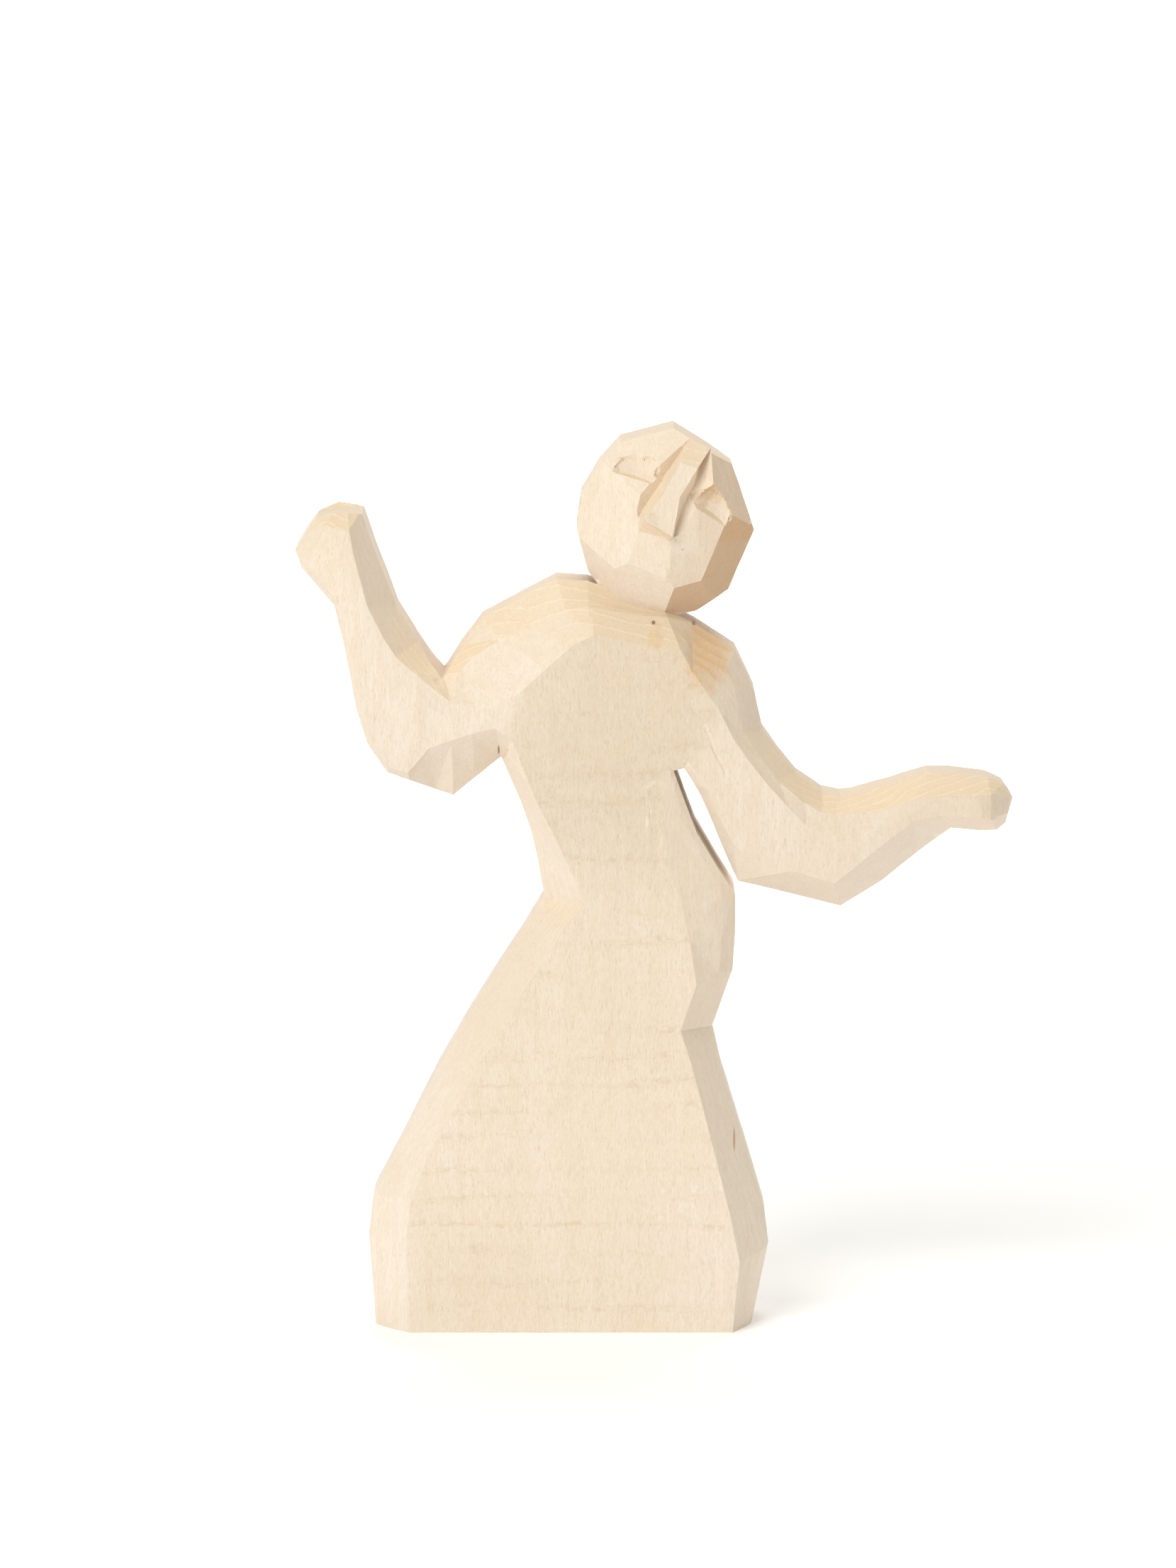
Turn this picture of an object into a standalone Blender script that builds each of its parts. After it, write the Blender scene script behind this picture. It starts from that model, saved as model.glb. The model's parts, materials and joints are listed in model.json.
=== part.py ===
"""Carved dancing figure: one board of pale limewood, sawn to an outline and pared with a knife.

The figure stands on its skirt's hem. +Z is up, -Y is its front and +X is the viewer's right, with the
lowered arm. The origin is at the middle of its bounding box, on the surface that it stands on.

Each limb is a loft of sections taken across it. A section is half a ring: its corners run from one
sawn wall over the carved front to the other sawn wall, as (x, z, depth), where depth says how far a
corner lies below the board's raw front face. The back of the ring repeats them below the back face.
The head is a sawn block that flat knife cuts take down, and every limb is then one solid with the rest.
"""

import math

import bmesh
import bpy
from mathutils import Matrix, Vector

MM = 0.001
BOARD = 38.0            # thickness of the board, in millimetres like every size below
HALF = BOARD / 2.0
NOSE_ROOT = 12.0        # how deep the nose's hidden root reaches into the head
NOSE_UNDER = 3.0        # how far a cut beside the nose runs on under the nose
CUT_REACH = 12.0        # how far a cutter reaches away from its cut
EYE_STEPS = 20          # facets around an eye's hollow
NAME = "carved_figure"

# Skirt and torso, from the hem up: wall, knife break, edge of the flat front, edge, break, wall.
BODY = (
    # hem and its corners
    ((-60.5, 0, 10), (-56.5, 0, 4), (-53, 0, 0), (17.5, 0, 0), (20.5, 0, 7.5), (21.8, 0, 12)),
    ((-62, 20, 11), (-56, 21, 4), (-53.5, 22, 0), (19, 15.5, 0), (24, 17, 7.5), (25.5, 18, 12)),
    ((-61, 28.5, 12), (-55.5, 29, 4), (-52.5, 29, 0), (17, 25.5, 0), (22, 26, 7.5), (24.5, 26, 12)),
    ((-54, 42, 12), (-51, 40, 5), (-48, 40.5, 0), (13, 41.5, 0), (17.8, 41.5, 7.5), (20, 41, 12)),
    ((-47, 56, 12), (-41.5, 58, 5), (-37, 60, 0), (8.5, 59, 0), (13, 58, 7.5), (15, 57, 12)),
    # notch under the hip, then the hip
    ((-40.5, 67.5, 12), (-35, 69, 5), (-31, 70, 0), (6, 66.5, 0), (10.5, 66.2, 7), (13, 66, 11)),
    ((-33, 79.5, 12), (-27.5, 81, 5), (-23.5, 82, 0), (9.5, 76.5, 0), (14.5, 78, 4.5), (17.5, 79, 9)),
    ((-28, 87, 12), (-23, 88.5, 5), (-19, 89, 0), (8, 86.5, 0), (15, 87, 4), (18, 87, 8)),
    # waist, chest and armpits
    ((-23.5, 94.5, 12), (-18.5, 94, 5), (-14.5, 94.5, 0), (6, 95.5, 0), (15, 95.5, 3.5), (18, 95.5, 6)),
    ((-25, 103, 10), (-21, 103, 4), (-18.5, 103, 0), (3.5, 101.5, 0), (12.5, 101.5, 3), (14.2, 101.5, 4)),
    ((-26.5, 109.5, 9), (-24, 110, 4), (-22, 110.5, 0), (2.5, 110, 0), (8, 109.5, 2), (9.5, 109.5, 3)),
    ((-28.5, 115.5, 8), (-27, 116.5, 4), (-25.5, 117.5, 0), (2.5, 117, 0), (5.8, 116, 1.2), (7, 116, 2)),
    ((-32.5, 125, 6), (-31.5, 126.5, 3), (-30.5, 130, 0), (2.5, 123, 0), (3.8, 123, 0.6), (4.5, 123, 1.2)),
    ((-30, 134, 8), (-29.5, 134, 4), (-28, 134, 0), (1, 129, 0), (2, 129, 4), (3, 129, 8)),
)

# Both arms and the shoulders, from the raised hand along to the lowered hand: upper wall (the inner one
# on the raised forearm), break, edge of the flat front, lower edge, lower wall.
ARMS = (
    # raised hand
    ((-63, 178.3, 9), (-63.6, 178.2, 7.5), (-66, 178.7, 6), (-68.8, 179, 6), (-73, 177.4, 8.5)),
    ((-62.4, 176.6, 9), (-65.6, 175.4, 2.2), (-66.5, 175.2, 2), (-70.6, 176.3, 2.4), (-74.6, 175.2, 8)),
    ((-60.5, 171, 9), (-64.7, 170.5, 1.4), (-68, 170.8, 1.2), (-73, 171, 2.2), (-77.5, 170.5, 9)),
    ((-58, 164.5, 10), (-63.6, 166.2, 1.2), (-67.5, 167, 1.1), (-73.5, 167.2, 1.9), (-76, 167, 5.5)),
    # wrist and forearm
    ((-55.5, 158, 11), (-61.7, 159, 1.1), (-64.2, 159.4, 1), (-67.7, 159.4, 1.5), (-69, 159, 4)),
    ((-51, 150.5, 10.5), (-58.2, 152, 1), (-61.2, 151.8, 0.9), (-65.7, 151.2, 1.4), (-67, 151, 4)),
    ((-48, 145.8, 7.5), (-55.4, 147.8, 1), (-59, 146, 0.8), (-64.1, 143.8, 1.4), (-65.5, 143.5, 4)),
    # elbow, with the crease above it
    ((-45.8, 143, 4.5), (-52, 144.8, 1), (-56, 140, 0.8), (-63, 136.5, 1.4), (-64.2, 136.3, 4)),
    ((-45.7, 142.9, 4.5), (-48.7, 142, 1), (-53.5, 135, 0.8), (-60.8, 129.3, 1.5), (-61.9, 128.9, 4)),
    ((-45.6, 142.8, 4.5), (-46.5, 140.3, 1), (-50.5, 132, 0.8), (-56.9, 123.8, 1.5), (-57.6, 122.6, 4)),
    ((-45.5, 142.9, 4.5), (-45, 139.2, 1), (-47.3, 133, 0.8), (-53, 122.7, 1.6), (-52.6, 120.7, 4.5)),
    ((-45.2, 143.2, 5), (-43.6, 138.1, 1), (-43.6, 134, 0.8), (-48.3, 128.2, 1.1), (-47.2, 118.3, 9)),
    # upper arm
    ((-43.6, 146, 8.5), (-42.2, 144.2, 4.2), (-38.3, 137, 0.8), (-43.5, 129.8, 0.8), (-43.3, 117, 9)),
    ((-41.5, 149.5, 10.5), (-39, 147.5, 5), (-34.5, 137.8, 0.6), (-39, 131.3, 0.6), (-38.5, 121, 8.5)),
    ((-37, 155.5, 11), (-33, 151.5, 5.5), (-29.5, 139.6, 0.3), (-34, 132.5, 0.4), (-33, 125.5, 8)),
    ((-28.5, 160, 11), (-26.5, 154, 5.5), (-23, 145.5, 0), (-28, 128, 0), (-27, 120, 8)),
    # shoulders and the foot of the neck
    ((-21, 164, 11), (-19, 158, 5.5), (-18, 150, 0), (-20, 124, 0), (-20, 118, 8)),
    ((-14, 163.5, 11), (-14, 158.5, 5), (-12.5, 153, 0), (-12.5, 121, 0), (-12.5, 117.5, 8)),
    ((-2.5, 159, 11), (-2.5, 156.5, 5.5), (-1.5, 150.5, 0), (-6, 121, 0), (-6, 117.5, 8)),
    ((2.5, 157.5, 11), (3.2, 156, 6), (6, 149.5, 0), (-1, 121, 0), (-1, 118, 8)),
    ((9, 154.3, 11), (8.5, 151.5, 7), (8.8, 144.5, 0), (1.5, 122.5, 0), (2.5, 120.5, 3)),
    ((18, 148.5, 11.5), (16, 145, 6.5), (11.8, 140, 0), (3.5, 124.5, 0), (4.4, 123.2, 1.2)),
    # upper arm on the lowered side
    ((22, 140, 12), (17.8, 140.5, 5), (14.3, 136.5, 0.2), (7.5, 125.5, 0.2), (6.8, 123.8, 1.2)),
    ((24, 131, 12), (19.6, 131.5, 3.8), (17.3, 130.3, 0.5), (9.8, 122.5, 0.4), (8.6, 121, 2)),
    ((27.5, 126, 12), (22.8, 126.5, 3.3), (20.8, 125.3, 0.8), (12, 119, 0.6), (10.5, 117.5, 3)),
    ((31.5, 121, 12), (27, 121, 3), (25, 120, 1), (14.5, 113, 0.9), (13.5, 110.5, 4)),
    ((37, 117.2, 12), (32.5, 116.3, 2.8), (30, 114.5, 1.3), (17.5, 107, 1.2), (15.5, 105.5, 5)),
    # elbow and forearm on the lowered side
    ((41, 116.4, 12), (36.5, 114, 2.6), (33.5, 111, 1.5), (24.5, 100.3, 1.6), (18.5, 98.6, 6)),
    ((43.5, 116.7, 12), (39.5, 113.5, 2.6), (37, 110, 1.6), (30, 101.3, 1.7), (27, 96.3, 8.5)),
    ((46.5, 117.5, 12), (43, 113.6, 2.6), (41.5, 109, 1.8), (39.5, 98.6, 2.1), (41, 92.5, 11)),
    ((52, 119, 12), (49.5, 114, 2.8), (48.5, 110, 2.1), (47.5, 105, 2.5), (50, 98, 11.5)),
    ((60, 121.5, 12), (56.5, 116.8, 3.2), (56.5, 114, 2.7), (56.5, 112, 3), (58, 104.5, 11.5)),
    # lowered hand
    ((65, 121.5, 12), (62, 117.3, 4), (62.2, 115, 3.6), (62.5, 113, 4), (65, 109.5, 11.5)),
    ((73, 120.5, 12), (70.5, 117.3, 5), (71, 115, 4.8), (71.5, 112.5, 5), (71.5, 109, 11.5)),
    ((76.5, 119, 13), (73.5, 117.5, 6), (73.5, 114.8, 5.7), (73.5, 112, 6), (75, 109, 12)),
    ((78.5, 116, 13), (77.5, 116, 11), (77.6, 114.5, 10.8), (77.5, 113, 11), (77, 110.5, 13)),
)

# The head's sawn outline, clockwise from its crown.
HEAD_OUTLINE = (
    (4.5, 197), (13, 191.5), (17, 189), (19, 183.5), (22, 174.5), (19, 167.5), (16.5, 161.5), (9.5, 157),
    (2, 155.5), (-8, 158), (-14, 165.5), (-16, 173), (-16.5, 175.5), (-15.5, 182.5), (-11.5, 189), (-7, 194),
)

# Knife cuts that shape the head: each is flat and goes through three points. They are made on both faces.
HEAD_CUTS = (
    ((4.5, 197, 8), (-6.5, 193.5, 8), (-1, 185, 3.6)),        # left of the forehead
    ((-15, 183.5, 9), (-15.5, 174, 9), (-4, 178, 3.4)),       # left cheek
    ((-5, 174, 3), (4.5, 172.5, 3), (4.5, 164, 4.2)),         # chin
    ((4.5, 172.5, 3), (15.5, 176, 5.5), (10.5, 164, 6.5)),    # right cheek
    ((15.5, 176, 5.5), (21.5, 175.5, 12), (10.5, 164, 6.5)),  # right jaw
    ((16.5, 190, 11), (21.5, 175.5, 12), (14.5, 184, 4.5)),   # right temple
    ((4.5, 163.5, 4.2), (10.5, 164, 6.5), (9.5, 157, 12)),    # under the jaw on the right
    ((-8.5, 168, 4.5), (4.5, 164, 4.2), (2, 157, 9)),         # under the chin
    ((-16, 173.5, 9), (-8.5, 168, 4.5), (-8.5, 161, 9.5)),    # under the jaw on the left
)

# Long flat cuts beside the nose: three points of the cut, the last of them on the side away from the nose,
# then the ends of the valley that it leaves.
NOSE_CUTS = (
    ("brow_cut", ((6.9, 194, 6.4), (2.9, 187.7, 6.2), (1.2, 189, 4.9)), ((8.5, 196), (1.6, 186))),
    ("left_cut", ((-1, 182.5, 4.2), (-3.6, 179.4, 3.2), (-2.5, 183.1, 3)), ((2.5, 187.5), (-3.8, 178.3))),
    ("right_cut", ((12.5, 192.5, 5.6), (4.4, 173.4, 3.3), (12.2, 184.5, 2.8)), ((13.5, 195), (4.2, 172.6))),
)

# Nose, from the brow down: left foot, left edge, right edge, right foot.
NOSE = (
    ((6.9, 194, 8.5), (8.1, 194.8, 6.5), (12.4, 192.7, 5.5), (12.6, 192.4, 8)),
    ((4.4, 190.3, 7.8), (5.9, 189.9, 1.6), (9.6, 188.8, 1.7), (10.9, 189.5, 6.8)),            # brow
    ((-1, 182.5, 6), (1.8, 182.5, 0.7), (5.9, 182.8, 0.9), (8.4, 182.2, 6.2)),
    ((-3.9, 178.1, 5), (-1.9, 177.7, 0), (4.2, 174.1, 0.5), (4.7, 173.6, 4.8)),                # tip
    ((-4.6, 176.8, 5), (-3.2, 174.9, 3), (3.6, 173.2, 3), (4.6, 172.8, 4.8)),
)

# Eyes: middle of the lower lid, the lid's angle, how far the face leans back and turns aside there, half
# the eye's width, the hollow's height and its depth.
EYES = (
    ("eye_left", (-3.4, 186.1, 4.35), (-18.5, 22, -15), 5.4, 5.1, 1.6),
    ("eye_right", (11.3, 178.7, 3.6), (-30, -8, 20), 5.7, 6, 1.7),
)
EYE_CAP = 0.7           # how far out an eye cutter's middle stands, as a share of its radius
LID_SLOPE = 0.45        # how much the lower lid leans, on the cutter before it is stretched


def point(x, z, depth):
    """A place on the carved front, from its place on the board's face and its depth below that face."""
    return Vector((x, depth - HALF, z)) * MM


def behind(front):
    """The same place on the back of the board."""
    return Vector((front.x, -front.y, front.z))


def collection(name):
    """A new collection in the scene."""
    made = bpy.data.collections.new(name)
    bpy.context.scene.collection.children.link(made)
    return made


def solid(name, bm, into):
    """An object from a closed bmesh, with its faces turned outwards."""
    bmesh.ops.recalc_face_normals(bm, faces=bm.faces)
    mesh = bpy.data.meshes.new(name)
    bm.to_mesh(mesh)
    bm.free()
    made = bpy.data.objects.new(name, mesh)
    into.objects.link(made)
    return made


def loft(name, rings, into):
    """A closed solid through rings that all have the same number of corners."""
    bm = bmesh.new()
    rows = [[bm.verts.new(corner) for corner in ring] for ring in rings]
    for near, far in zip(rows, rows[1:]):
        for i in range(len(near)):
            after = (i + 1) % len(near)
            bm.faces.new((near[i], near[after], far[after], far[i]))
    bm.faces.new(rows[0])
    bm.faces.new(rows[-1])
    bmesh.ops.triangulate(bm, faces=bm.faces)
    return solid(name, bm, into)


def limb(name, sections, into):
    """A loft whose back repeats its carved front."""
    rings = []
    for section in sections:
        front = [point(*corner) for corner in section]
        rings.append(front + [behind(corner) for corner in reversed(front)])
    return loft(name, rings, into)


def pare(bm, a, b, c):
    """One flat knife cut through three points, taking off what lies in front of them or behind them."""
    outward = (b - a).cross(c - a).normalized()
    if outward.y * a.y < 0.0:
        outward.negate()
    everything = bm.verts[:] + bm.edges[:] + bm.faces[:]
    cut = bmesh.ops.bisect_plane(bm, geom=everything, plane_co=a, plane_no=outward, clear_outer=True)
    rim = [piece for piece in cut["geom_cut"] if isinstance(piece, bmesh.types.BMEdge)]
    bmesh.ops.edgeloop_fill(bm, edges=rim)


def head_block(into):
    """The head: its outline sawn from the board, then pared flat by flat on both faces."""
    curve = bpy.data.curves.new("head", "CURVE")
    curve.dimensions = "2D"
    curve.fill_mode = "BOTH"
    curve.extrude = HALF * MM
    spline = curve.splines.new("POLY")
    spline.points.add(len(HEAD_OUTLINE) - 1)
    for control, (x, z) in zip(spline.points, HEAD_OUTLINE):
        control.co = (x * MM, z * MM, 0.0, 1.0)
    spline.use_cyclic_u = True
    sawn = bpy.data.objects.new("head_outline", curve)
    into.objects.link(sawn)
    mesh = bpy.data.meshes.new_from_object(sawn.evaluated_get(bpy.context.evaluated_depsgraph_get()))
    bpy.data.objects.remove(sawn)
    bm = bmesh.new()
    bm.from_mesh(mesh)
    bpy.data.meshes.remove(mesh)
    bmesh.ops.remove_doubles(bm, verts=bm.verts, dist=0.01 * MM)
    bmesh.ops.dissolve_limit(bm, angle_limit=math.radians(0.5), verts=bm.verts, edges=bm.edges)
    bmesh.ops.transform(bm, matrix=Matrix.Rotation(math.radians(90.0), 4, "X"), verts=bm.verts)
    for cut in HEAD_CUTS:
        a, b, c = (point(*place) for place in cut)
        pare(bm, a, b, c)
        pare(bm, behind(a), behind(b), behind(c))
    return solid("head", bm, into)


def nose_cutter(name, cut, ends, into):
    """A slab whose underside is one long flat cut, reaching past the valley on both sides."""
    a, b, c = (point(*place) for place in cut)
    outward = (b - a).cross(c - a).normalized()
    if outward.y > 0.0:
        outward.negate()
    top, bottom = (Vector((x, 0.0, z)) * MM for x, z in ends)
    run = (bottom - top).normalized()
    across = Vector((-run.z, 0.0, run.x))
    if across.dot(c - a) < 0.0:
        across.negate()
    bm = bmesh.new()
    corners = []
    for place, side in ((top, -NOSE_UNDER), (top, CUT_REACH), (bottom, CUT_REACH), (bottom, -NOSE_UNDER)):
        flat = place + across * (side * MM)
        drop = (a - flat).dot(outward) / outward.y
        corners.append(Vector((flat.x, flat.y + drop, flat.z)))
    face = bm.faces.new([bm.verts.new(corner) for corner in corners])
    lifted = bmesh.ops.extrude_face_region(bm, geom=[face])
    moved = [piece for piece in lifted["geom"] if isinstance(piece, bmesh.types.BMVert)]
    bmesh.ops.translate(bm, verts=moved, vec=outward * CUT_REACH * MM)
    return solid(name, bm, into)


def eye_cutter(name, middle, turns, half_width, height, depth, into):
    """A flattened ball cut off at the lower lid: its shallow cap hollows the eye from the brow down."""
    rim = math.sqrt(1.0 - EYE_CAP ** 2)
    bm = bmesh.new()
    bmesh.ops.create_uvsphere(bm, u_segments=EYE_STEPS, v_segments=EYE_STEPS, radius=1.0)
    cut = bmesh.ops.bisect_plane(
        bm, geom=bm.verts[:] + bm.edges[:] + bm.faces[:], plane_co=(0.0, EYE_CAP, 0.0),
        plane_no=(0.0, LID_SLOPE, -1.0), clear_outer=True)
    edges = [piece for piece in cut["geom_cut"] if isinstance(piece, bmesh.types.BMEdge)]
    bmesh.ops.edgeloop_fill(bm, edges=edges)
    size = Vector((half_width / rim, depth / (1.0 - EYE_CAP), height / rim)) * MM
    bmesh.ops.scale(bm, vec=size, verts=bm.verts)
    bmesh.ops.translate(bm, verts=bm.verts, vec=(0.0, -EYE_CAP * size.y, 0.0))
    angle, lean, aside = (math.radians(degrees) for degrees in turns)
    turn = Matrix.Rotation(aside, 3, "Z") @ Matrix.Rotation(-lean, 3, "X") @ Matrix.Rotation(-angle, 3, "Y")
    bmesh.ops.rotate(bm, cent=(0.0, 0.0, 0.0), matrix=turn, verts=bm.verts)
    bmesh.ops.translate(bm, verts=bm.verts, vec=point(*middle))
    return solid(name, bm, into)


def nose_block(into):
    """The nose, with its root buried in the head."""
    rings = []
    for section in NOSE:
        front = [point(*corner) for corner in section]
        left, right = section[0], section[-1]
        rings.append(front + [point(right[0], right[1], NOSE_ROOT), point(left[0], left[1], NOSE_ROOT)])
    return loft("nose", rings, into)


def boolean(target, operation, other):
    """Join another solid to the target, or cut it away."""
    step = target.modifiers.new(f"{operation.lower()} {other.name}", "BOOLEAN")
    step.operation = operation
    step.solver = "EXACT"
    step.object = other


def wood():
    """Pale, bare, close-grained wood."""
    material = bpy.data.materials.new("limewood")
    material.use_nodes = True
    shader = material.node_tree.nodes["Principled BSDF"]
    shader.inputs["Base Color"].default_value = (0.80, 0.66, 0.47, 1.0)
    shader.inputs["Roughness"].default_value = 0.72
    shader.inputs["Metallic"].default_value = 0.0
    return material


def build():
    for old in list(bpy.data.objects):
        bpy.data.objects.remove(old)
    figure = collection("carved_dancing_figure")
    helpers = collection("cutters")

    torso = limb(NAME, BODY, figure)
    boolean(torso, "UNION", limb("arms", ARMS, helpers))

    head = head_block(helpers)
    for name, cut, ends in NOSE_CUTS:
        boolean(head, "DIFFERENCE", nose_cutter(name, cut, ends, helpers))
    for eye in EYES:
        boolean(head, "DIFFERENCE", eye_cutter(*eye, helpers))
    boolean(head, "UNION", nose_block(helpers))
    boolean(torso, "UNION", head)

    torso.data.materials.append(wood())
    for helper in helpers.objects:
        helper.hide_render = True
        helper.display_type = "WIRE"


build()
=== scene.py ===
"""Looks of the carved dancing figure: knife-pared limewood on a white studio floor.

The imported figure's own mesh is refined, and the marks of its making are cut into it: the saw's level
marks on the raw faces, the band-saw's fine lines on the walls, hollow knife flats, torn fibres, the
pared hollows of the closed eyes and pin knots. All places are in the frame's own axes: +Z up, -Y the
front, +X the viewer's right.
"""

import json
import math

import bmesh
import bpy
import numpy as np
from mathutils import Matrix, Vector

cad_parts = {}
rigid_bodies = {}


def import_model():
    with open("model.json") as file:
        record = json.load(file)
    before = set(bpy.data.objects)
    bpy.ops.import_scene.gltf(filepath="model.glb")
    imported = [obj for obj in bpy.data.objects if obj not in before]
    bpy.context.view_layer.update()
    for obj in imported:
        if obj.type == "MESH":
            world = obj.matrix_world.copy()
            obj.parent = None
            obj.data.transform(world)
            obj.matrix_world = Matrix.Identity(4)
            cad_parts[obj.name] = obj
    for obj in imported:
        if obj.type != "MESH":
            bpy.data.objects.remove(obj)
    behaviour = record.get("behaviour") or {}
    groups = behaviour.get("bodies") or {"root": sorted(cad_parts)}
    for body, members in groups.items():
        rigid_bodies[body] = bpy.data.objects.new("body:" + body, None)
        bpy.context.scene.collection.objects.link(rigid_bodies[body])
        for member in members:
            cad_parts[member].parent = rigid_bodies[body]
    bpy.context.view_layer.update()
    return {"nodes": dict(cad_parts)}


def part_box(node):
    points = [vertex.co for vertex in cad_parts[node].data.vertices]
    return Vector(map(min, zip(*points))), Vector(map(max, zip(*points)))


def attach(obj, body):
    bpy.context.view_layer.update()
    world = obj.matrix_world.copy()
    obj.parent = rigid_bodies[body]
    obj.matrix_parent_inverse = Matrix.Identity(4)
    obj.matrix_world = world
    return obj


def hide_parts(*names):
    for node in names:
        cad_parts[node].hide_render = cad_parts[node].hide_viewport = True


for old in list(bpy.data.objects):
    bpy.data.objects.remove(old)

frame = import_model()

MM = 0.001
NODE = "carved_figure"
FACE_Y = max(abs(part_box(NODE)[0].y), abs(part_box(NODE)[1].y)) / MM   # the raw faces, in millimetres

# ---------------------------------------------------------------- the mesh
WELD = 0.001 * MM
CELL_DEPTH = 8
CELL_SCALE = 0.83                  # keeps the whole mesh under 200,000 triangles
FINE_CUTS = 2
EDGE_ANGLE = math.radians(9.0)     # steeper meetings of two faces are knife edges
# Where the mesh is finest, in millimetres on the front: low x, low z, high x, high z.
FINE_AREAS = (
    (-6.0, 99.0, 5.0, 122.0),
    (5.0, 118.0, 17.0, 134.0),
    (-1.5, 152.5, 10.5, 157.5),
    (-13.0, 171.0, 18.0, 191.0),
    (-49.0, 139.5, -43.5, 145.5),
)

# ---------------------------------------------------------------- marks of saw and knife
# Uneven layers, in millimetres: height, size of the grains along x, y and z, seed.
KNIFE_HOLLOWS = (0.07, (7.0, 7.0, 11.0), 11)
KNIFE_CHATTER = (0.035, (2.2, 2.2, 5.0), 12)
FIBRE_RIDGES = (0.02, (1.3, 1.3, 9.0), 13)
RAW_WAVES = (0.03, (14.0, 14.0, 20.0), 14)
WALL_LINES = (0.05, (1.7, 1.0, 1.7), 17)
THROUGH = (1.0, 0.02, 1.0)         # the wall's lines run straight through the board
# The ripsaw's level marks on the raw faces, in millimetres.
SAW_PITCH = 6.2
SAW_WIDTH = 0.55
SAW_DEPTH = 0.035
# Torn and lifted fibres on the front, in millimetres:
# middle x, middle z, half width, half height, lean in degrees, depth.
TEAR_OUTS = (
    (-2.4, 111.5, 1.3, 4.2, 14.0, 0.13),
    (0.9, 107.5, 1.2, 5.0, -8.0, 0.13),
    (-0.6, 120.5, 2.2, 0.35, -28.0, 0.10),
    (1.6, 121.0, 1.0, 3.6, 6.0, 0.10),
    (8.6, 126.8, 1.4, 3.4, -34.0, 0.10),
    (12.2, 130.6, 0.35, 3.2, -22.0, 0.22),
    (14.4, 125.4, 0.4, 3.4, -26.0, 0.22),
    (15.6, 135.0, 0.3, 2.2, -38.0, 0.16),
    (-29.3, 127.0, 0.3, 3.4, 0.0, 0.14),
    (-29.0, 118.5, 0.3, 3.8, 0.0, 0.14),
    (-46.4, 142.4, 1.0, 0.5, 25.0, 0.35),
    (17.6, 41.0, 0.35, 3.0, 3.0, 0.12),
)
# The pared hollows of the two closed eyes on the front, x and z: the upper lid's edge, the lower lid's.
EYES = (
    (((-8.5, 188.6), (-6.66, 190.9), (-4.7, 191.4), (-2.3, 191.4), (0.6, 190.5), (1.7, 188.5), (1.4, 186.8)),
     ((-0.1, 185.5), (-2.3, 186.3), (-4.6, 187.1), (-6.5, 187.8))),
    (((8.0, 182.0), (7.7, 183.1), (9.0, 184.0), (11.6, 184.3), (13.8, 183.7), (16.1, 181.4), (17.1, 179.2),
      (17.2, 177.4)),
     ((15.9, 176.4), (13.2, 178.2), (10.6, 180.2), (9.2, 181.2))),
)
EYE_DEPTH = 0.45
UPPER_LID_SLOPE = 0.45             # the hollow is full this far below the upper lid's edge
LOWER_LID_SLOPE = 2.0              # and fades out over this much above the lower lid's
# Dark spots on the front: middle x, middle z, half width, half height, how deep they sink.
SPOTS = (
    (0.2, 155.1, 0.34, 0.34, 0.35),       # pin knot below the chin
    (9.0, 154.5, 0.38, 0.5, 0.2),         # pin knot on the shoulder's edge
    (6.4, 171.0, 0.16, 0.16, 0.05),       # speck on the cheek
    (17.9, 41.4, 0.2, 2.0, 0.06),         # gum streak low on the skirt
    (-33.4, 127.2, 0.18, 0.9, 0.2),       # end of the saw's kerf in the armpit, painted nearly black as the shadow of a cut too thin for the mesh
)
DEEP_SPOT = 0.15                   # deeper spots are nearly black, the others are brown

# ---------------------------------------------------------------- the wood, in millimetres
HEART_DEPTH = 104.0                # the tree's heart lies this far behind the board's middle
HEART_LEAN = 0.05                  # and comes this much nearer for each millimetre up
RING_WIDTH = 2.3
RING_WARP = 34.0
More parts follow.
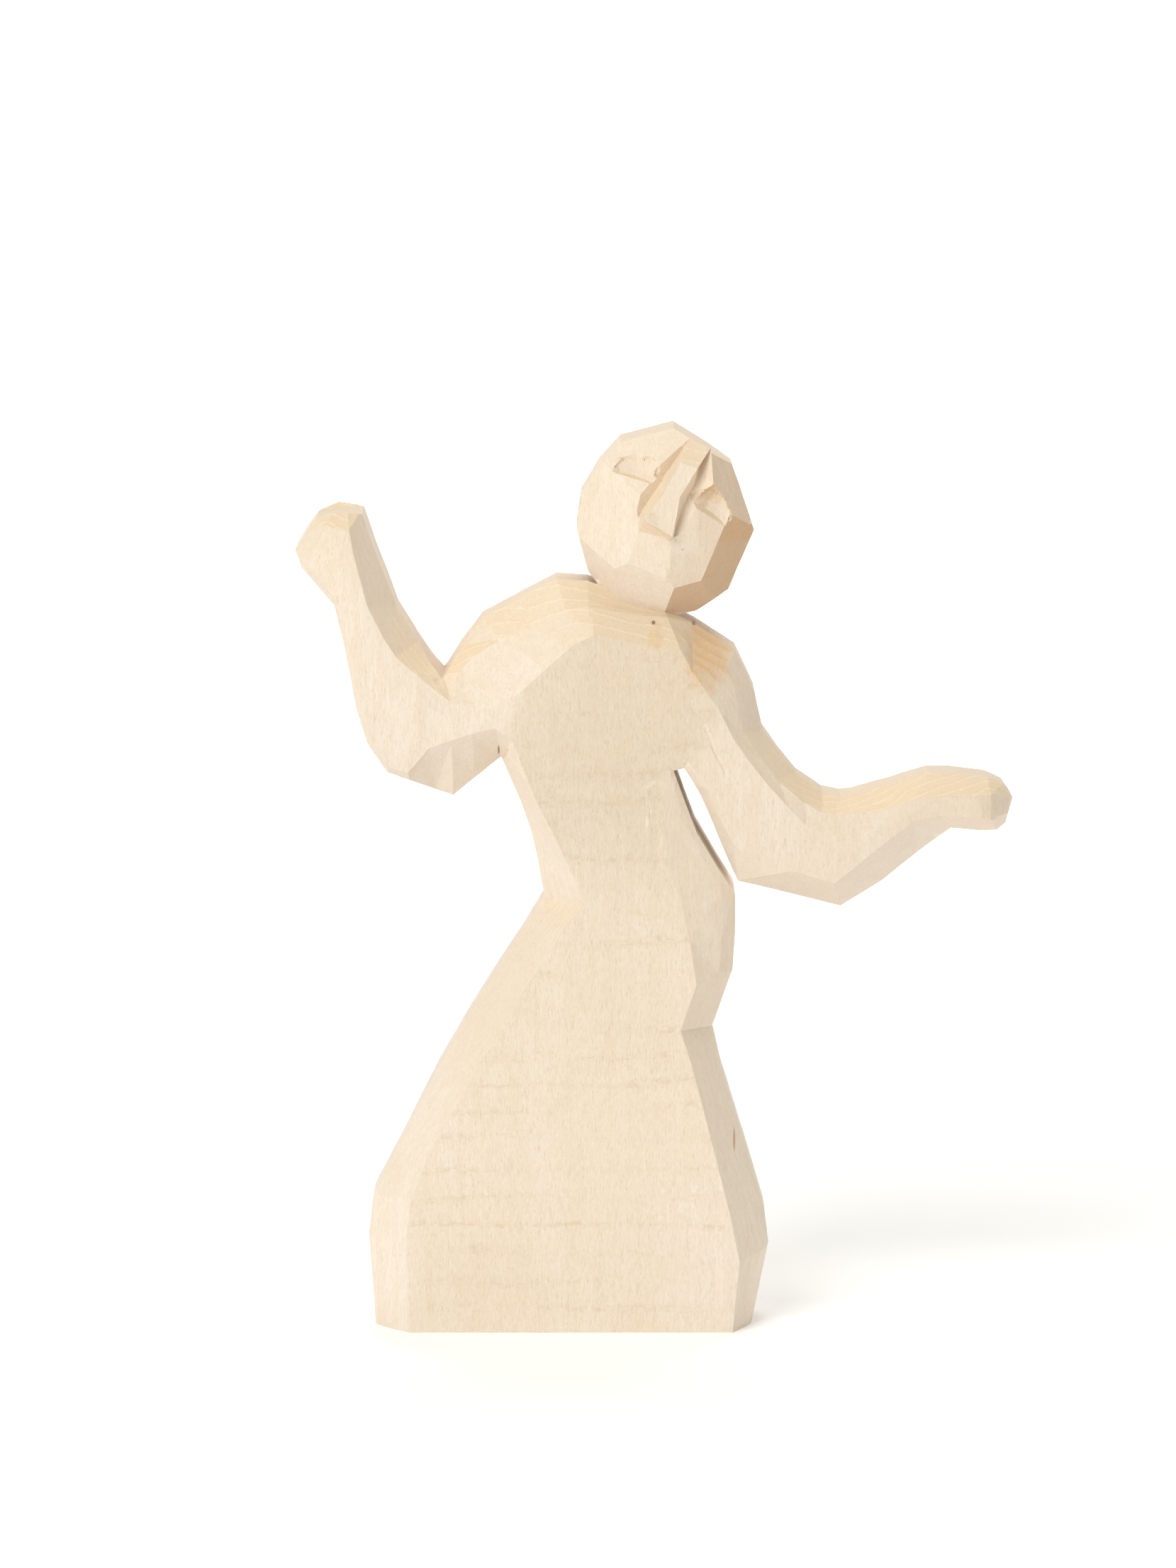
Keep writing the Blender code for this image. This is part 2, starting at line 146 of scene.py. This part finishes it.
# Stain that runs down from the pin knots: middle x, middle z, half width, half height, strength.
STAINS = (
    (2.7, 155.2, 1.5, 3.6, 0.42),
    (14.3, 151.8, 5.2, 8.6, 0.75),
)
SLIT_PAINTED_LIGHT = (11.0, 111.0, 10.0, 16.0)   # where light is painted on the walls of the slit beside the lowered arm: middle x and z, half width and height
SLIT_PAINTED_LIGHT_FADE = 2.0
HEAD_SIDE = (9.0, 176.0, 20.0, 24.0)   # where the head's painted shade lies: middle x and z, half width and height
ROUGHNESS_PARED = 0.56
ROUGHNESS_RAW = 0.78
RELIEF = 0.13
WOOD = {
    "honey": (0.79, 0.665, 0.515),
    "cream": (0.825, 0.72, 0.595),
    "streak": (0.72, 0.56, 0.40),
    # darker end-grain, and painted warm light from above, given only to facets that face up
    "upward end-grain and painted top light": (0.815, 0.625, 0.385),
    # painted light: a pale, cool tint for facets facing down below the face, as if lit from the white floor
    "underside": (0.74, 0.64, 0.555),
    # painted shade: warm brown under the jaw and chin, with a painted warm reflection from the shoulder
    "painted shade under face": (0.76, 0.55, 0.34),
    "late ring": (0.70, 0.50, 0.31),
    "pale ring": (0.92, 0.80, 0.63),
    "fibre": (0.71, 0.55, 0.385),
    "fine fibre": (0.90, 0.81, 0.69),
    "vessel": (0.62, 0.46, 0.31),
    "saw mark": (0.66, 0.49, 0.32),
    "blotch": (0.79, 0.63, 0.42),
    "saw fuzz": (0.64, 0.51, 0.38),
    "sawn wall": (0.70, 0.60, 0.53),
    # painted light: a pale colour for the walls of the narrow slit, which lie deep in shade
    "painted slit light": (0.95, 0.83, 0.70),
    "stain": (0.78, 0.46, 0.19),
    # nearly black: the pin knots' own colour, and painted shadow at the end of the saw's kerf
    "dark knot and painted kerf shadow": (0.22, 0.11, 0.05),
    "shallow spot": (0.52, 0.27, 0.13),
}
# Painted shade and light: what the wood's colour is multiplied by in three places.
HEAD_SIDE_PAINTED_SHADE = (0.78, 0.65, 0.52)
SKIRT_PAINTED_LIGHT = (1.10, 1.11, 1.13)
CHEST_PAINTED_SHADE = (0.93, 0.92, 0.90)

# ---------------------------------------------------------------- the studio, in metres
FLOOR_SIZE = 30.0
# The paper's own glow, near the figure and far from it, and the distances between which it grows.
PAPER_GLOW = (0.21, 0.95)
PAPER_GLOW_REACH = (0.25, 1.6)
LIT_POINT = (0.0, 0.0, 0.1)
# Softboxes, all aimed at the lit point: name, place, width and height, watts, tint.
SOFTBOXES = (
    ("key", (-0.95, -1.7, 1.65), 1.3, 38.5, (0.985, 1.0, 1.0)),
    ("top", (0.1, -0.1, 2.2), 1.4, 13.0, (1.0, 0.94, 0.84)),
    ("back", (0.2, 1.3, 1.9), 1.2, 17.0, (0.95, 1.0, 1.0)),
    ("left", (-2.2, -0.5, 0.9), 1.2, 2.5, (0.75, 0.9, 1.0)),
)
BACKDROP_STRENGTH = 2.4
HORIZON_PALENESS = 0.34            # how far the band along the horizon goes towards the backdrop
SIDE_STRENGTH = (0.06, 0.17)       # the rest of the room, on the left and on the right
WARM = (1.0, 0.95, 0.84)
WHITE = (1.0, 1.0, 1.0)
CAMERA_PLACE = (-0.0140275, -1.6930062, 0.3200880)
CAMERA_TILT = 6.8                  # degrees below level
CAMERA_SENSOR = 36.0
CAMERA_LENS = 179.0235


# ---------------------------------------------------------------- noise in the mesh's own space
def lattice(ix, iy, iz, seed):
    """A fixed pseudo-random number from 0 to 1 for each whole-numbered place."""
    h = (ix.astype(np.int64) * 73856093) ^ (iy.astype(np.int64) * 19349663) ^ (iz.astype(np.int64) * 83492791)
    h = (h ^ (seed * 668265263)) & 0x7FFFFFFF
    h = ((h ^ (h >> 15)) * 2246822519) & 0x7FFFFFFF
    h = ((h ^ (h >> 13)) * 3266489917) & 0x7FFFFFFF
    return ((h ^ (h >> 16)) & 0xFFFF) / 65535.0


def noise(places, size, seed):
    """Smooth noise from -1 to 1 with grains of the given size along x, y and z."""
    q = places / np.array(size, float)
    cell = np.floor(q)
    f = q - cell
    u = f * f * (3.0 - 2.0 * f)
    total = np.zeros(len(places))
    for dx in (0, 1):
        for dy in (0, 1):
            for dz in (0, 1):
                weight = np.ones(len(places))
                for axis, step in enumerate((dx, dy, dz)):
                    weight *= u[:, axis] if step else 1.0 - u[:, axis]
                total += weight * lattice(cell[:, 0] + dx, cell[:, 1] + dy, cell[:, 2] + dz, seed)
    return total * 2.0 - 1.0


def layer(places, height, size, seed):
    """An uneven layer that goes up and down by the given height."""
    return height * noise(places, size, seed)


def smooth(low, high, value):
    """0 below low, 1 above high, and a smooth step between; high may be the smaller of the two."""
    t = np.clip((value - low) / (high - low), 0.0, 1.0)
    return t * t * (3.0 - 2.0 * t)


def apart(x, z, line):
    """Each place's distance from a broken line on the front."""
    nearest = np.full(len(x), np.inf)
    for (ax, az), (bx, bz) in zip(line, line[1:]):
        length = (bx - ax) ** 2 + (bz - az) ** 2
        along = np.clip(((x - ax) * (bx - ax) + (z - az) * (bz - az)) / length, 0.0, 1.0)
        nearest = np.minimum(nearest, np.hypot(x - ax - along * (bx - ax), z - az - along * (bz - az)))
    return nearest


def within(x, z, outline):
    """1 for each place inside a closed outline on the front, 0 outside it."""
    inside = np.zeros(len(x), bool)
    for (ax, az), (bx, bz) in zip(outline, outline[1:] + outline[:1]):
        if az != bz:
            inside ^= ((az > z) != (bz > z)) & (x < (bx - ax) * (z - az) / (bz - az) + ax)
    return inside.astype(float)


# ---------------------------------------------------------------- the carving
def refined(node):
    """A fine, even copy of a CAD node's mesh that keeps its edges."""
    mesh = node.data.copy()
    bm = bmesh.new()
    bm.from_mesh(mesh)
    bmesh.ops.remove_doubles(bm, verts=bm.verts, dist=WELD)
    bm.to_mesh(mesh)
    bm.free()
    rough = bpy.data.objects.new("rough", mesh)
    bpy.context.scene.collection.objects.link(rough)
    cells = rough.modifiers.new("cells", "REMESH")
    cells.mode = "SHARP"
    cells.octree_depth = CELL_DEPTH
    cells.scale = CELL_SCALE
    cells.sharpness = 1.0
    cells.use_remove_disconnected = False
    made = bpy.data.meshes.new_from_object(rough.evaluated_get(bpy.context.evaluated_depsgraph_get()))
    bpy.data.objects.remove(rough)
    bm = bmesh.new()
    bm.from_mesh(made)
    for low_x, low_z, high_x, high_z in FINE_AREAS:
        edges = []
        for edge in bm.edges:
            middle = (edge.verts[0].co + edge.verts[1].co) / (2.0 * MM)
            if middle.y < 0.0 and low_x < middle.x < high_x and low_z < middle.z < high_z:
                edges.append(edge)
        bmesh.ops.subdivide_edges(bm, edges=edges, cuts=FINE_CUTS, use_grid_fill=True)
    bmesh.ops.triangulate(bm, faces=bm.faces)
    bm.to_mesh(made)
    bm.free()
    return made


def carve_marks(mesh):
    """Move the mesh's points in or out by the marks of saw and knife."""
    count = len(mesh.vertices)
    co = np.zeros(count * 3)
    mesh.vertices.foreach_get("co", co)
    co = co.reshape(-1, 3) / MM
    normal = np.zeros(count * 3)
    mesh.vertices.foreach_get("normal", normal)
    normal = normal.reshape(-1, 3)
    x, y, z = co.T
    facing = np.abs(normal[:, 1])
    raw = smooth(0.97, 0.995, facing) * smooth(FACE_Y - 0.35, FACE_Y - 0.1, np.abs(y))
    wall = smooth(0.10, 0.03, facing)
    knife = (1.0 - raw) * (1.0 - wall)

    out = knife * (layer(co, *KNIFE_HOLLOWS) + layer(co, *KNIFE_CHATTER))
    out += layer(co, *FIBRE_RIDGES)
    out += raw * layer(co, *RAW_WAVES)
    # the ripsaw's level marks on the raw faces
    sway = 0.35 * noise(co, (18.0, 60.0, 9.0), 15)
    phase = (z / SAW_PITCH + sway / SAW_PITCH * 2.0) % 1.0
    score = np.exp(-((phase - 0.5) * SAW_PITCH / SAW_WIDTH) ** 2)
    broken = smooth(-0.35, 0.45, noise(co, (5.0, 40.0, 3.0), 16))
    out -= SAW_DEPTH * raw * score * broken
    # the band-saw's lines
    out += wall * layer(co * np.array(THROUGH), *WALL_LINES)
    # fibres torn out of the front
    front = smooth(0.3, 0.8, -normal[:, 1])
    ragged = 1.0 + 0.5 * noise(co, (0.5, 2.0, 1.3), 18)
    for mx, mz, rx, rz, lean, depth in TEAR_OUTS:
        turn = math.radians(lean)
        across = (x - mx) * math.cos(turn) - (z - mz) * math.sin(turn)
        along = (x - mx) * math.sin(turn) + (z - mz) * math.cos(turn)
        reach = np.sqrt((across / rx) ** 2 + (along / rz) ** 2) * ragged
        out -= depth * front * smooth(1.25, 0.35, reach)
    for upper, lower in EYES:
        hollow = within(x, z, upper + lower) * smooth(0.0, UPPER_LID_SLOPE, apart(x, z, upper))
        out -= EYE_DEPTH * front * hollow * smooth(0.0, LOWER_LID_SLOPE, apart(x, z, lower))
    for mx, mz, rx, rz, depth in SPOTS:
        reach = np.hypot((x - mx) / rx, (z - mz) / rz)
        out -= depth * smooth(1.8, 0.6, reach) * (y < 0.0)

    still = smooth(0.0, 0.8, z)          # the hem's underside stays on its plane
    co += normal * (out * still)[:, None]
    mesh.vertices.foreach_set("co", (co * MM).ravel())
    mesh.update()


def crisp(mesh):
    """Smooth shading that breaks at knife edges."""
    mesh.polygons.foreach_set("use_smooth", [True] * len(mesh.polygons))
    mesh.set_sharp_from_angle(angle=EDGE_ANGLE)


# ---------------------------------------------------------------- shader trees
def colour(red, green, blue):
    return (red, green, blue, 1.0)


class Nodes:
    """A short hand for building the shader tree of a material or a world."""

    def __init__(self, owner):
        owner.use_nodes = True
        self.tree = owner.node_tree

    def set(self, socket, value):
        """Link a socket to another node's output, or give it a fixed value."""
        if hasattr(value, "links"):
            self.tree.links.new(value, socket)
        else:
            socket.default_value = value

    def add(self, kind, out=0, props=None, **inputs):
        """A new node's output; inputs go by name, or by number as i0, i1 and so on."""
        node = self.tree.nodes.new(kind)
        for key, value in (props or {}).items():
            setattr(node, key, value)
        for key, value in inputs.items():
            numbered = key[0] == "i" and key[1:].isdigit()
            self.set(node.inputs[int(key[1:]) if numbered else key], value)
        return node.outputs[out]

    def parts(self, vector):
        """The x, y and z of a vector."""
        return self.add("ShaderNodeSeparateXYZ", Vector=vector).node.outputs

    def math(self, operation, a, b=0.0, c=0.0, clamp=False):
        props = {"operation": operation, "use_clamp": clamp}
        return self.add("ShaderNodeMath", props=props, i0=a, i1=b, i2=c)

    def times(self, first, *others):
        for other in others:
            first = self.math("MULTIPLY", first, other)
        return first

    def squares(self, a, b):
        """The sum of two squares."""
        return self.math("ADD", self.math("MULTIPLY", a, a), self.math("MULTIPLY", b, b))

    def off(self, value, middle):
        """How far a value is from the middle, whichever way."""
        return self.math("ABSOLUTE", self.math("SUBTRACT", value, middle))

    def reach(self, x, z, middle_x, middle_z, wide, tall):
        """The square of the distance from a middle, in half widths and half heights."""
        dx = self.math("DIVIDE", self.math("SUBTRACT", x, middle_x), wide)
        dz = self.math("DIVIDE", self.math("SUBTRACT", z, middle_z), tall)
        return self.squares(dx, dz)

    def ramp(self, value, low, high, to_low=0.0, to_high=1.0):
        """A smooth step from to_low at low to to_high at high."""
        return self.add(
            "ShaderNodeMapRange", props={"interpolation_type": "SMOOTHSTEP"},
            i0=value, i1=low, i2=high, i3=to_low, i4=to_high)

    def noise(self, vector, stretch, place=(0.0, 0.0, 0.0), detail=2.0, rough=0.5):
        """Noise from 0 to 1 that changes along x, y and z as fast as stretch says."""
        spread = self.add("ShaderNodeMapping", Vector=vector, Scale=stretch, Location=place)
        return self.add("ShaderNodeTexNoise", Vector=spread, Scale=1.0, Detail=detail, Roughness=rough)

    def between(self, factor, a, b):
        """A number between two numbers."""
        return self.add("ShaderNodeMix", i0=factor, i2=a, i3=b)

    def mix(self, factor, a, b, blend="MIX"):
        """A colour between two colours."""
        props = {"data_type": "RGBA", "blend_type": blend}
        return self.add("ShaderNodeMix", out=2, props=props, i0=factor, i6=a, i7=b)

    def over(self, tone, amount, name):
        """One of the wood's colours laid over a tone."""
        return self.mix(amount, tone, colour(*WOOD[name]))


# ---------------------------------------------------------------- limewood
def growth_rings(n, mm, x, y, z):
    """Where each place lies in its growth ring, from 0 to 1, and how much late wood there is."""
    warp = n.noise(mm, (0.02, 0.02, 0.012), detail=3.0, rough=0.55)
    far_x = n.math("ADD", x, n.times(n.math("SUBTRACT", warp, 0.5), RING_WARP))
    far_y = n.math("ADD", y, n.math("MULTIPLY_ADD", z, HEART_LEAN, -HEART_DEPTH))
    radius = n.math("SQRT", n.squares(far_x, far_y))
    wobble = n.times(n.noise(mm, (0.16, 0.16, 0.05)), 0.9)
    ring = n.math("FRACT", n.math("ADD", n.math("DIVIDE", radius, RING_WIDTH), wobble))
    soft = n.noise(mm, (0.3, 0.3, 0.08), (7.0, 3.0, 1.0))
    late = n.times(n.ramp(ring, 0.45, 0.93), n.ramp(ring, 1.0, 0.95), n.ramp(soft, 0.3, 0.62))
    return ring, late


def sawn_face(n, tone, mm, z, raw):
    """Add the ripsaw's soft, broken, unevenly spaced bands and what lies between them."""
    sway = n.noise(mm, (0.03, 0.0, 0.13))
    lines = n.math("FRACT", n.math("ADD", n.math("DIVIDE", z, SAW_PITCH), n.times(sway, 1.3)))
    dashes = n.noise(mm, (0.45, 0.1, 0.9), detail=4.0, rough=0.75)
    patches = n.noise(mm, (0.035, 0.1, 0.06), (2.0, 0.0, 5.0))
    score = n.times(n.ramp(n.off(lines, 0.5), 0.24, 0.0), n.ramp(dashes, 0.42, 0.62))
    score = n.times(score, n.ramp(patches, 0.40, 0.62))
    tone = n.over(tone, n.times(score, raw, 0.50), "saw mark")
    blotch = n.noise(mm, (0.11, 0.1, 0.2), (9.0, 1.0, 4.0), detail=4.0, rough=0.7)
    tone = n.over(tone, n.times(n.ramp(blotch, 0.52, 0.70), raw, 0.26), "blotch")
    fuzz = n.noise(mm, (2.6, 0.5, 1.1), detail=3.0, rough=0.65)
    tone = n.over(tone, n.times(n.ramp(fuzz, 0.50, 0.72), raw, 0.20), "saw fuzz")
    return tone, fuzz


def sawn_walls_and_slit_light(n, tone, mm, x, z, facing, wall):
    """Make the sawn walls greyer, with lines through the board, and paint light onto the slit's walls, which
    lie in shade.
    """
    across = n.noise(mm, (1.3, 0.03, 1.3), detail=3.0, rough=0.65)
    tone = n.over(tone, n.times(wall, n.ramp(across, 0.2, 0.8, 0.25, 0.6)), "sawn wall")
    middle_x, middle_z, wide, tall = SLIT_PAINTED_LIGHT
    slit = n.times(n.ramp(n.off(x, middle_x), wide + SLIT_PAINTED_LIGHT_FADE, wide),
                   n.ramp(n.off(z, middle_z), tall + SLIT_PAINTED_LIGHT_FADE, tall))
    # painted light: the slit's walls between arm and body are made pale
    return n.over(tone, n.times(slit, n.ramp(facing, 0.35, 0.2)), "painted slit light"), across


def stained(n, tone, mm, x, y, z, ring, fibre):
    """Add the stain that runs down from the two pin knots, darker along the growth rings, and the spots,
    where the kerf's end is a painted shadow.
    """
    front = n.ramp(y, 0.0, -4.0)
    drift_x = n.math("MULTIPLY_ADD", n.noise(mm, (0.35, 0.35, 0.25), detail=3.0), 5.0, x)
    drift_z = n.math("MULTIPLY_ADD", n.noise(mm, (0.3, 0.3, 0.3), (4.0, 0.0, 8.0), detail=3.0), 6.0, z)
    bands = n.math("ADD", n.ramp(ring, 0.2, 0.95, 0.45, 0.95), n.ramp(fibre, 0.3, 0.7, -0.2, 0.2))
    for middle_x, middle_z, wide, tall, strength in STAINS:
        reach = n.reach(drift_x, drift_z, middle_x, middle_z, wide, tall)
        stain = n.math("MULTIPLY", n.times(n.ramp(reach, 1.3, 0.1), front), bands, clamp=True)
        tone = n.over(tone, n.times(stain, strength), "stain")
    for middle_x, middle_z, wide, tall, depth in SPOTS:
        reach = n.math("SQRT", n.reach(x, z, middle_x, middle_z, wide, tall))
        spot = n.times(n.ramp(reach, 1.5, 0.7), front, 0.8)
        # the deeper ones: the pin knots, and the painted shadow at the kerf's end
        tone = n.over(tone, spot, "dark knot and painted kerf shadow" if depth > DEEP_SPOT else "shallow spot")
    return tone


def painted_shade_and_light(n, tone, x, z, nx, nz, raw):
    """Paint shade on the head's facets on the viewer's right and on the raw chest, and paint light on the
    skirt to make it paler.
    """
    side = n.times(n.ramp(n.reach(x, z, *HEAD_SIDE), 1.3, 1.0), n.ramp(z, 156.0, 157.2))
    side = n.times(side, n.ramp(n.math("SUBTRACT", nx, nz), 0.25, 0.95))
    beside_or_below_nose = n.math("MAXIMUM", n.ramp(x, 9.0, 10.5), n.ramp(z, 171.0, 169.0))
    # painted shade: the head's facets that face right or down, beside and below the nose, browned warm
    tone = n.mix(n.times(side, beside_or_below_nose), tone, colour(*HEAD_SIDE_PAINTED_SHADE), "MULTIPLY")
    # painted light: the wood is paler low down, most below 25 mm and fading out by 120 mm
    tone = n.mix(n.ramp(z, 25.0, 120.0, 1.0, 0.0), tone, colour(*SKIRT_PAINTED_LIGHT), "MULTIPLY")
    # painted shade: the raw front above 90 mm is made darker
    chest = n.times(raw, n.ramp(z, 90.0, 115.0))
    return n.mix(chest, tone, colour(*CHEST_PAINTED_SHADE), "MULTIPLY")


def limewood():
    """Pale limewood with upright grain, by place in the board and by how each flat meets the grain, with
    painted light and shade by which way each flat faces.
    """
    material = bpy.data.materials.new("limewood_pared")
    n = Nodes(material)
    place = n.add("ShaderNodeTexCoord", out=3)
    mm = n.add("ShaderNodeMapping", Vector=place, Scale=(1.0 / MM, 1.0 / MM, 1.0 / MM))
    x, y, z = n.parts(mm)
    nx, ny, nz = n.parts(n.add("ShaderNodeTexCoord", out=1))
    facing = n.math("ABSOLUTE", ny)
    depth = n.math("ABSOLUTE", y)
    raw = n.times(n.ramp(facing, 0.975, 0.995), n.ramp(depth, FACE_Y - 0.4, FACE_Y - 0.15))
    wall = n.ramp(facing, 0.10, 0.04)
    end_grain_and_top_light = n.ramp(nz, 0.28, 0.8)          # facets that look up across the grain: darker end-grain, and painted warm light from above, which facets that look down don't get
    underside = n.ramp(nz, -0.12, -0.6)
    upper_face = n.ramp(z, 171.5, 173.0)

    ring, late = growth_rings(n, mm, x, y, z)
    # fibres and vessels, long along z
    fibre = n.noise(mm, (1.9, 1.9, 0.3), detail=5.0, rough=0.8)
    fine = n.noise(mm, (5.5, 5.5, 0.9), detail=3.0, rough=0.7)
    vessel = n.ramp(n.noise(mm, (5.5, 5.5, 0.7), (3.0, 9.0, 2.0), detail=1.0), 0.66, 0.74)
    streak = n.ramp(n.noise(mm, (0.55, 0.55, 0.012), detail=3.0, rough=0.6), 0.35, 0.75)
    cloud = n.ramp(n.noise(mm, (0.035, 0.035, 0.02), detail=3.0), 0.3, 0.7)

    tone = n.over(colour(*WOOD["honey"]), cloud, "cream")
    tone = n.over(tone, n.times(streak, 0.22), "streak")
    # end-grain colour, with painted warm light from above on upward facets
    tone = n.over(tone, n.times(end_grain_and_top_light, 0.72), "upward end-grain and painted top light")
    # painted light: facets facing down below the face get a pale, cool tint
    tone = n.over(tone, n.times(underside, n.math("MULTIPLY_ADD", upper_face, -0.4, 0.4)), "underside")
    # painted shade: facets facing down on the face, browned warm
    tone = n.over(tone, n.times(n.ramp(nz, -0.1, -0.4), upper_face, 0.55), "painted shade under face")
    tone = n.over(tone, n.times(late, n.ramp(end_grain_and_top_light, 0.0, 1.0, 0.14, 0.30)), "late ring")
    pale = n.times(n.ramp(ring, 0.78, 0.9), n.ramp(ring, 1.0, 0.95))
    tone = n.over(tone, n.times(pale, n.ramp(end_grain_and_top_light, 0.0, 1.0, 0.05, 0.6)), "pale ring")
    tone = n.over(tone, n.times(n.ramp(fibre, 0.42, 0.62), 0.40), "fibre")
    tone = n.over(tone, n.times(n.ramp(fine, 0.42, 0.66), 0.30), "fine fibre")
    tone = n.over(tone, n.times(vessel, 0.30), "vessel")
    tone, fuzz = sawn_face(n, tone, mm, z, raw)
    tone, across = sawn_walls_and_slit_light(n, tone, mm, x, z, facing, wall)
    tone = stained(n, tone, mm, x, y, z, ring, fibre)
    tone = painted_shade_and_light(n, tone, x, z, nx, nz, raw)

    shader = n.tree.nodes["Principled BSDF"]
    n.set(shader.inputs["Base Color"], tone)
    rough = n.ramp(raw, 0.0, 1.0, ROUGHNESS_PARED, ROUGHNESS_RAW)
    n.set(shader.inputs["Roughness"], n.math("ADD", rough, n.times(fine, 0.12)))
    shader.inputs["Specular IOR Level"].default_value = 0.32

    relief = n.math("ADD", n.times(fibre, 0.5), n.times(fine, 0.35))
    relief = n.math("ADD", relief, n.times(fuzz, raw, 0.8))
    relief = n.math("ADD", relief, n.times(across, wall, 1.2))
    relief = n.math("SUBTRACT", relief, n.times(vessel, 0.5))
    bump = n.add("ShaderNodeBump", Height=relief, Distance=RELIEF * MM, Strength=0.7)
    n.set(shader.inputs["Normal"], bump)
    return material


# ---------------------------------------------------------------- studio
def paper():
    """The studio's seamless white paper, which glows a little so that it stays white far from the lamps."""
    material = bpy.data.materials.new("white_paper")
    n = Nodes(material)
    place = n.add("ShaderNodeTexCoord", out=3)
    tooth = n.ramp(n.noise(place, (900.0, 900.0, 900.0)), 0.3, 0.7)
    shader = n.tree.nodes["Principled BSDF"]
    n.set(shader.inputs["Base Color"], n.mix(tooth, colour(0.90, 0.90, 0.90), colour(0.92, 0.92, 0.92)))
    shader.inputs["Roughness"].default_value = 0.9
    shader.inputs["Specular IOR Level"].default_value = 0.1
    x, y, _ = n.parts(place)
    away = n.math("SQRT", n.squares(x, y))
    shader.inputs["Emission Color"].default_value = colour(*WHITE)
    n.set(shader.inputs["Emission Strength"], n.ramp(away, *PAPER_GLOW_REACH, *PAPER_GLOW))
    return material


def softbox(name, place, size, watts, tint):
    lamp = bpy.data.lights.new(name, "AREA")
    lamp.shape = "RECTANGLE"
    lamp.size = size
    lamp.size_y = size
    lamp.energy = watts
    lamp.color = tint
    holder = bpy.data.objects.new(name, lamp)
    holder.location = place
    way = Vector(LIT_POINT) - Vector(place)
    holder.rotation_euler = way.to_track_quat("-Z", "Y").to_euler()
    bpy.context.scene.collection.objects.link(holder)


def room():
    """A bright white backdrop behind the figure, a pale band along the whole horizon, and little else."""
    world = bpy.data.worlds.new("studio")
    n = Nodes(world)
    x, y, z = n.parts(n.add("ShaderNodeTexCoord"))
    backdrop = n.times(n.ramp(y, 0.0, 0.6), n.ramp(z, 0.10, 0.45, 1.0, 0.0))
    lit = n.math("MAXIMUM", backdrop, n.ramp(z, 0.07, 0.11, HORIZON_PALENESS, 0.0))
    side = n.ramp(x, -0.3, 0.5, *SIDE_STRENGTH)
    sky = n.tree.nodes["Background"]
    n.set(sky.inputs["Color"], n.mix(lit, colour(*WARM), colour(*WHITE)))
    n.set(sky.inputs["Strength"], n.between(lit, side, BACKDROP_STRENGTH))
    bpy.context.scene.world = world


# ---------------------------------------------------------------- build
mesh = refined(frame["nodes"][NODE])
carve_marks(mesh)
crisp(mesh)
mesh.materials.clear()
mesh.materials.append(limewood())
carving = bpy.data.objects.new("carving", mesh)
bpy.context.scene.collection.objects.link(carving)
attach(carving, "root")
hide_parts(NODE)

bm = bmesh.new()
bmesh.ops.create_grid(bm, x_segments=2, y_segments=2, size=FLOOR_SIZE)
floor_mesh = bpy.data.meshes.new("floor")
bm.to_mesh(floor_mesh)
bm.free()
floor_mesh.materials.append(paper())
floor = bpy.data.objects.new("floor", floor_mesh)
bpy.context.scene.collection.objects.link(floor)

room()
for box in SOFTBOXES:
    softbox(*box)

eye = bpy.data.cameras.new("camera")
eye.sensor_fit = "AUTO"
eye.sensor_width = CAMERA_SENSOR
eye.lens = CAMERA_LENS
camera = bpy.data.objects.new("camera", eye)
camera.location = CAMERA_PLACE
camera.rotation_euler = (math.radians(90.0 - CAMERA_TILT), 0.0, 0.0)
bpy.context.scene.collection.objects.link(camera)
bpy.context.scene.camera = camera
bpy.context.scene.view_settings.view_transform = "Standard"
bpy.context.scene.view_settings.look = "None"
